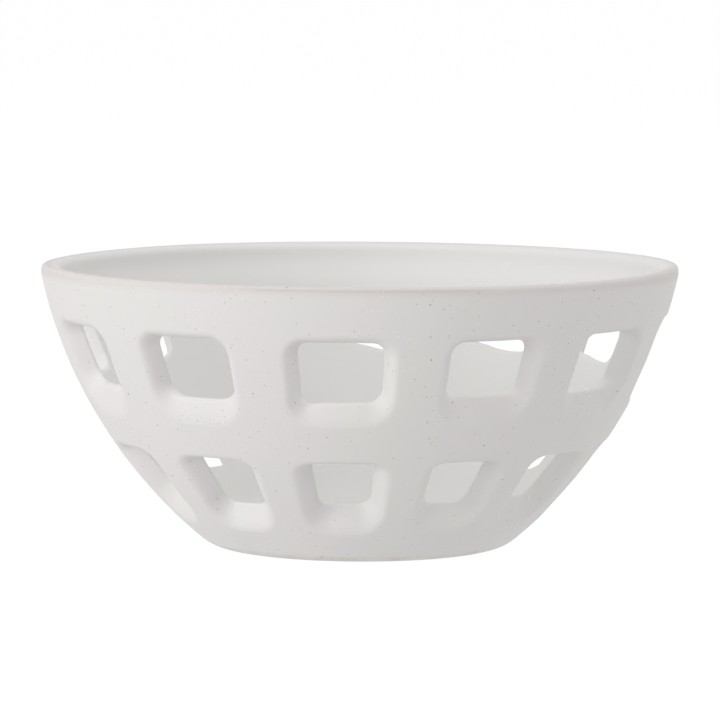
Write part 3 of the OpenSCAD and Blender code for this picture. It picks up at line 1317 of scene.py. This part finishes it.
@dataclass
class GlazedBowl:
    """The bowl above its foot: floor, heel, openwork wall and rim, as the one pot that it is."""

    wall: WallSection
    upper: WindowRow
    lower: WindowRow
    holes: DrainHoles = DrainHoles()
    wobble: CutWobble = CutWobble()
    thrown: HandThrown = HandThrown()
    glaze: MatteGlaze = MatteGlaze()
    middle_seam_share: float = 0.47
    seam_margin: float = 0.0035
    inner_rise: float = 0.005
    lip_crispness: float = 0.58
    lip_fall: float = 0.0009
    crest_share: float = 0.6
    lip_overrun: float = 0.03
    band_steps: int = 10
    lip_steps: int = 24
    inner_band_steps: int = 8
    heel_steps: int = 5
    inner_heel_steps: int = 12
    name: str = "glazed_bowl"
    nodes: tuple[str, ...] = (
        "drain_floor",
        "heel",
        "lower_sills",
        "lower_posts",
        "lower_lintels",
        "upper_sills",
        "upper_posts",
        "upper_lintels",
        "rim",
    )

    def thumbed(self, point: np.ndarray) -> np.ndarray:
        """Draws a point of the round lip to the real one's crisper edges and inward slope.

        Args:
            point: a place on the round, as (out, up).

        Returns:
            Where it goes.
        """
        wall = self.wall
        out, up = (point - wall.lip_centre) / wall.lip_radius
        if up > 0:
            out = math.copysign(abs(out) ** self.lip_crispness, out)
            up = up**self.lip_crispness
        fall = self.lip_fall * max(0.0, self.crest_share - out) / (self.crest_share + 1.0)
        return wall.lip_centre + wall.lip_radius * np.array([out, up]) - np.array([0.0, fall])

    def rim_profile(self, seam_z: float) -> list[np.ndarray]:
        """Section of the plain band and the lip.

        Args:
            seam_z: height of the band's lower border.

        Returns:
            Points of (out, up), from the outer face to the inner one.
        """
        wall = self.wall
        outer_lean, inner_lean = wall.lean_at(seam_z), wall.lean_at(seam_z, wall.wall)
        band = round_arc(wall.arc_centre, wall.arc_radius, outer_lean, wall.lip_lean, self.band_steps)
        over = -math.pi - self.lip_overrun
        lip = round_arc(wall.lip_centre, wall.lip_radius, wall.lip_lean, over, self.lip_steps)
        lip = [self.thumbed(point) for point in lip]
        start, end = wall.at(inner_lean, wall.wall), lip[-1]
        reach = float(np.linalg.norm(end - start)) / 3
        heading, back = (np.array([math.sin(a), math.cos(a)]) for a in (inner_lean, over))
        controls = (end, end + back * reach, start + heading * reach, start)
        return band + lip[1:] + curve(controls, self.inner_band_steps)[1:]

    def heel_profile(self, seam: Seam) -> tuple[list[np.ndarray], list[np.ndarray]]:
        """Sections of the heel's outside and inside.

        Args:
            seam: the heel's upper border.

        Returns:
            Two lists of (out, up) points, from the seam down to a step on to the flat.
        """
        wall, steps = self.wall, self.heel_steps
        outer_lean, lean = seam.lean(wall, False), seam.lean(wall, True)
        outside = [
            *round_arc(wall.arc_centre, wall.arc_radius, outer_lean, wall.heel_lean, steps),
            *round_arc(wall.heel_centre, wall.heel_radius, wall.heel_lean, wall.foot_lean, steps)[1:],
        ]
        start = wall.at(lean, wall.wall)
        reach = (seam.inner_z - wall.floor_z) / math.cos(lean)
        knee = start - reach * np.array([math.sin(lean), math.cos(lean)])
        inside = curve((start, knee, knee - np.array([reach, 0.0])), self.inner_heel_steps)
        for profile, level in ((outside, wall.foot_z), (inside, wall.floor_z)):
            profile.append(np.array([profile[-1][0] - wall.flat_lap, level]))
        return outside, inside

    def true_mesh(self, material: bpy.types.Material) -> bpy.types.Mesh:
        """Joins the rows, rim, heel and floor into one closed mesh.

        Args:
            material: the glaze.

        Returns:
            The mesh of a bowl that is turned true.
        """
        wall, upper, lower = self.wall, self.upper, self.lower
        low_z = lower.level(lower.sill_y - lower.sill_slant - self.seam_margin)
        high_z = upper.level(upper.lintel_y + upper.lintel_slant + self.seam_margin)
        bridge_foot, bridge_top = lower.levels[1], upper.levels[0]
        middle_z = bridge_foot + (bridge_top - bridge_foot) * self.middle_seam_share
        low_seam, middle_seam, high_seam = (
            Seam(low_z, low_z + self.inner_rise),
            Seam(middle_z, middle_z),
            Seam(high_z, high_z),
        )
        low, high = ([row.post_turn(i) for i in range(row.count)] for row in (lower, upper))
        middle = [(a + b) / 2 for a, b in zip(low, high, strict=True)]
        shell = bmesh.new()
        for row, seams, turns in (
            (lower, (low_seam, middle_seam), (low, middle)),
            (upper, (middle_seam, high_seam), (middle, high)),
        ):
            mesh = bend_panels(row, seams, turns, self.wobble, material)
            shell.from_mesh(mesh)
            bpy.data.meshes.remove(mesh)
        turned_ring(shell, self.rim_profile(high_z), upper.border_turns(high))
        for profile in self.heel_profile(low_seam):
            turned_ring(shell, profile, lower.border_turns(low))
        self.holes.build(shell, wall.floor_z, wall.foot_z)
        bmesh.ops.remove_doubles(shell, verts=shell.verts, dist=WELD)
        for level in (wall.floor_z, wall.foot_z):
            rims = [e for e in shell.edges if e.is_boundary]
            edges = [e for e in rims if all(abs(v.co.z - level) < WELD for v in e.verts)]
            bmesh.ops.triangle_fill(shell, use_beauty=True, edges=edges)
        return plain_mesh(shell, self.name)

    def build(self) -> None:
        """Builds and dresses the bowl."""
        material = self.glaze.material(self.wall)
        piece = add_object(self.true_mesh(material))
        piece.data = self.thrown.shape(piece, self.wall.height, material)
        piece.data.name = self.name
        finish_piece(piece, self.nodes)


@dataclass
class FootRing:
    """The bare clay ring that the bowl stands on."""

    wall: WallSection
    clay: BareStoneware = BareStoneware()
    softness: float = 0.0007
    soft_steps: int = 4
    heel_steps: int = 8
    sides: int = 288
    sharp_angle: float = math.radians(50)
    name: str = "clay_foot_ring"

    def profile(self) -> list[np.ndarray]:
        """The ring's closed section.

        Returns:
            Points of (out, up), from the top of its inner face down and round.
        """
        wall, soft = self.wall, self.softness
        inner = wall.base_radius - wall.foot_width
        top = np.array([inner, wall.foot_z])
        return [
            top,
            *round_arc((inner + soft, soft), soft, math.pi, math.pi / 2, self.soft_steps),
            np.array([wall.base_radius - wall.flat_lap, 0.0]),
            *round_arc(wall.heel_centre, wall.heel_radius, math.pi / 2, wall.foot_lean, self.heel_steps),
            top,
        ]

    def build(self) -> None:
        """Builds and dresses the ring."""
        shell = bmesh.new()
        turned_ring(shell, self.profile(), even_turns(self.sides))
        bmesh.ops.remove_doubles(shell, verts=shell.verts, dist=WELD)
        mesh = plain_mesh(shell, self.name)
        mesh.materials.append(self.clay.material())
        for face in mesh.polygons:
            face.use_smooth = True
        mesh.set_sharp_from_angle(angle=self.sharp_angle)
        finish_piece(add_object(mesh), ("foot_ring",))


def finish_piece(piece: bpy.types.Object, nodes: Sequence[str]) -> None:
    """Ties a finished piece to the frame and reports it.

    Args:
        piece: the piece.
        nodes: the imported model's nodes that it stands for.
    """
    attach(piece, "root")
    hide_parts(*nodes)
    triangles = sum(len(face.vertices) - 2 for face in piece.data.polygons)
    log.info("%s: %d triangles, for %s", piece.name, triangles, ", ".join(nodes))


# Studio


@dataclass(frozen=True)
class Lamp:
    """A soft round lamp that looks at the bowl."""

    name: str
    place: Triple
    size: float
    power: float
    target: Triple = (0.0, 0.0, 0.05)

    def build(self) -> None:
        """Adds the lamp."""
        light = bpy.data.lights.new(self.name, "AREA")
        light.shape = "DISK"
        light.size = self.size
        light.energy = self.power
        made = add_object(light)
        made.location = self.place
        aim = Vector(self.target) - Vector(self.place)
        made.rotation_euler = aim.to_track_quat("-Z", "Y").to_euler()


@dataclass
class Studio:
    """The white floor and surroundings, the lamps and the camera of the photograph."""

    ambient: float = 0.518
    floor_half: float = 60.0
    floor_finish: WhiteFloor = WhiteFloor()
    camera_place: Triple = (0.0, -1.684, 0.2217)
    camera_tilt: float = math.radians(90 - 5.159)
    camera_roll: float = math.radians(0.297)
    camera_lens: float = 224.38
    camera_shift: float = 0.00097
    camera_sensor: float = 36.0
    camera_clip: Pair = (0.01, 500.0)
    lamps: tuple[Lamp, ...] = (
        Lamp("left key", (-1.97, -1.14, 0.37), 0.9, 12.9),
        Lamp("high left key", (-1.63, -0.94, 1.37), 0.9, 3.8),
        Lamp("front fill", (-1.11, -1.92, 0.65), 0.9, 5.1),
        Lamp("overhead", (0.0, -0.2, 2.34), 1.6, 9.2),
        Lamp("right fill", (1.87, -1.08, 0.84), 0.9, 4.0),
        Lamp("back fill", (1.53, 0.88, 1.53), 0.9, 4.3),
    )

    def _world(self) -> None:
        """Lights the scene evenly, and shows white to the camera."""
        world = bpy.data.worlds.new("white surroundings")
        world.use_nodes = True
        graph = Graph(world.node_tree)
        strength = self.ambient + seen_directly(graph) * (1.0 - self.ambient)
        shade = graph.link("ShaderNodeBackground", {}, {"Color": (1, 1, 1, 1), "Strength": strength})
        graph.add("ShaderNodeOutputWorld", {}, {"Surface": shade})
        bpy.context.scene.world = world

    def _floor(self) -> None:
        """Lays the floor that the foot stands on."""
        h = self.floor_half
        mesh = new_mesh("studio_floor", [(-h, -h, 0), (h, -h, 0), (h, h, 0), (-h, h, 0)], [(0, 1, 2, 3)])
        mesh.materials.append(self.floor_finish.material())
        add_object(mesh)

    def _camera(self) -> None:
        """Sets the camera of the photograph."""
        data = bpy.data.cameras.new("camera")
        data.sensor_width = self.camera_sensor
        data.lens = self.camera_lens
        data.shift_x = self.camera_shift
        data.clip_start, data.clip_end = self.camera_clip
        made = add_object(data)
        turn = Matrix.Rotation(self.camera_tilt, 4, "X") @ Matrix.Rotation(self.camera_roll, 4, "Z")
        made.matrix_world = Matrix.Translation(self.camera_place) @ turn
        bpy.context.scene.camera = made

    def build(self) -> None:
        """Builds the floor, light and camera."""
        bpy.context.scene.view_settings.view_transform = "Standard"
        self._world()
        self._floor()
        self._camera()
        for lamp in self.lamps:
            lamp.build()


def lower_windows(wall: WallSection) -> WindowRow:
    """The row of small windows over the heel.

    Args:
        wall: the section that it is cut from.

    Returns:
        The row.
    """
    return WindowRow(
        name="lower windows",
        wall=wall,
        levels=wall.window_levels[0],
        width=0.0208,
        sill_lift=0.002,
        lintel_drop=0.0006,
        top_radius=0.0026,
        bottom_radius=0.0055,
        side_slant=0.0044,
        sill_slant=0.0081,
        lintel_slant=0.003,
        cuts=(
            HandCut(turn=0.035, tight_left=0.3, sill=0.0008),
            HandCut(turn=0.022, width=0.93, sill=0.0005, foot=0.0015),
            HandCut(turn=-0.04, foot=0.0005),
            HandCut(turn=0.02),
            HandCut(turn=0.09, width=0.93, sill=0.0016, foot=0.0015, bow=0.0008, tilt=-0.002),
            HandCut(turn=0.04, sill=0.0028, foot=0.002),
            HandCut(turn=-0.01, sill=0.0005),
            HandCut(turn=-0.06, bow=0.0008),
            HandCut(turn=-0.07, sill=0.0012, foot=0.0008),
            HandCut(turn=-0.07, sill=0.0006),
            HandCut(turn=-0.03, foot=-0.0005),
            HandCut(turn=0.003, tight_left=0.6, sill=-0.0016, foot=-0.0005),
        ),
    )


def upper_windows(wall: WallSection) -> WindowRow:
    """The row of large windows under the rim.

    Args:
        wall: the section that it is cut from.

    Returns:
        The row.
    """
    return WindowRow(
        name="upper windows",
        wall=wall,
        levels=wall.window_levels[1],
        width=0.0318,
        sill_lift=0.00095,
        lintel_drop=0.0003,
        top_radius=0.004,
        bottom_radius=0.0075,
        side_slant=0.0034,
        sill_slant=0.0043,
        lintel_slant=0.0037,
        sill_ridge=0.0017,
        cuts=(
            HandCut(turn=0.05, width=0.965, tight_left=0.6, tight_right=0.1),
            HandCut(turn=0.02, width=0.92, tight_left=0.3, sill=0.0034, foot=0.0004),
            HandCut(turn=-0.01, width=0.98, sill=0.0008, foot=0.0004),
            HandCut(turn=0.02),
            HandCut(sill=0.0025, foot=0.0025, bow=0.0023, tilt=0.0014),
            HandCut(turn=0.02, sill=0.0027, foot=0.0027, bow=0.0032, tilt=0.0016),
            HandCut(turn=-0.03, sill=0.0009, foot=0.0009, tilt=0.0038),
            HandCut(turn=-0.08, bow=0.0015),
            HandCut(turn=0.01, sill=0.0003, foot=0.0003, bow=0.001),
            HandCut(turn=-0.085, width=0.97),
            HandCut(turn=0.02, sill=0.0016, foot=-0.0022),
            HandCut(turn=0.035, width=0.965, foot=-0.0011),
        ),
    )


def main() -> None:
    """Builds every piece in order, then the studio."""
    logging.basicConfig(level=logging.INFO, format="%(name)s: %(message)s")
    wall = WallSection()
    GlazedBowl(wall, upper_windows(wall), lower_windows(wall)).build()
    FootRing(wall).build()
    Studio().build()


if __name__ == "__main__":
    main()
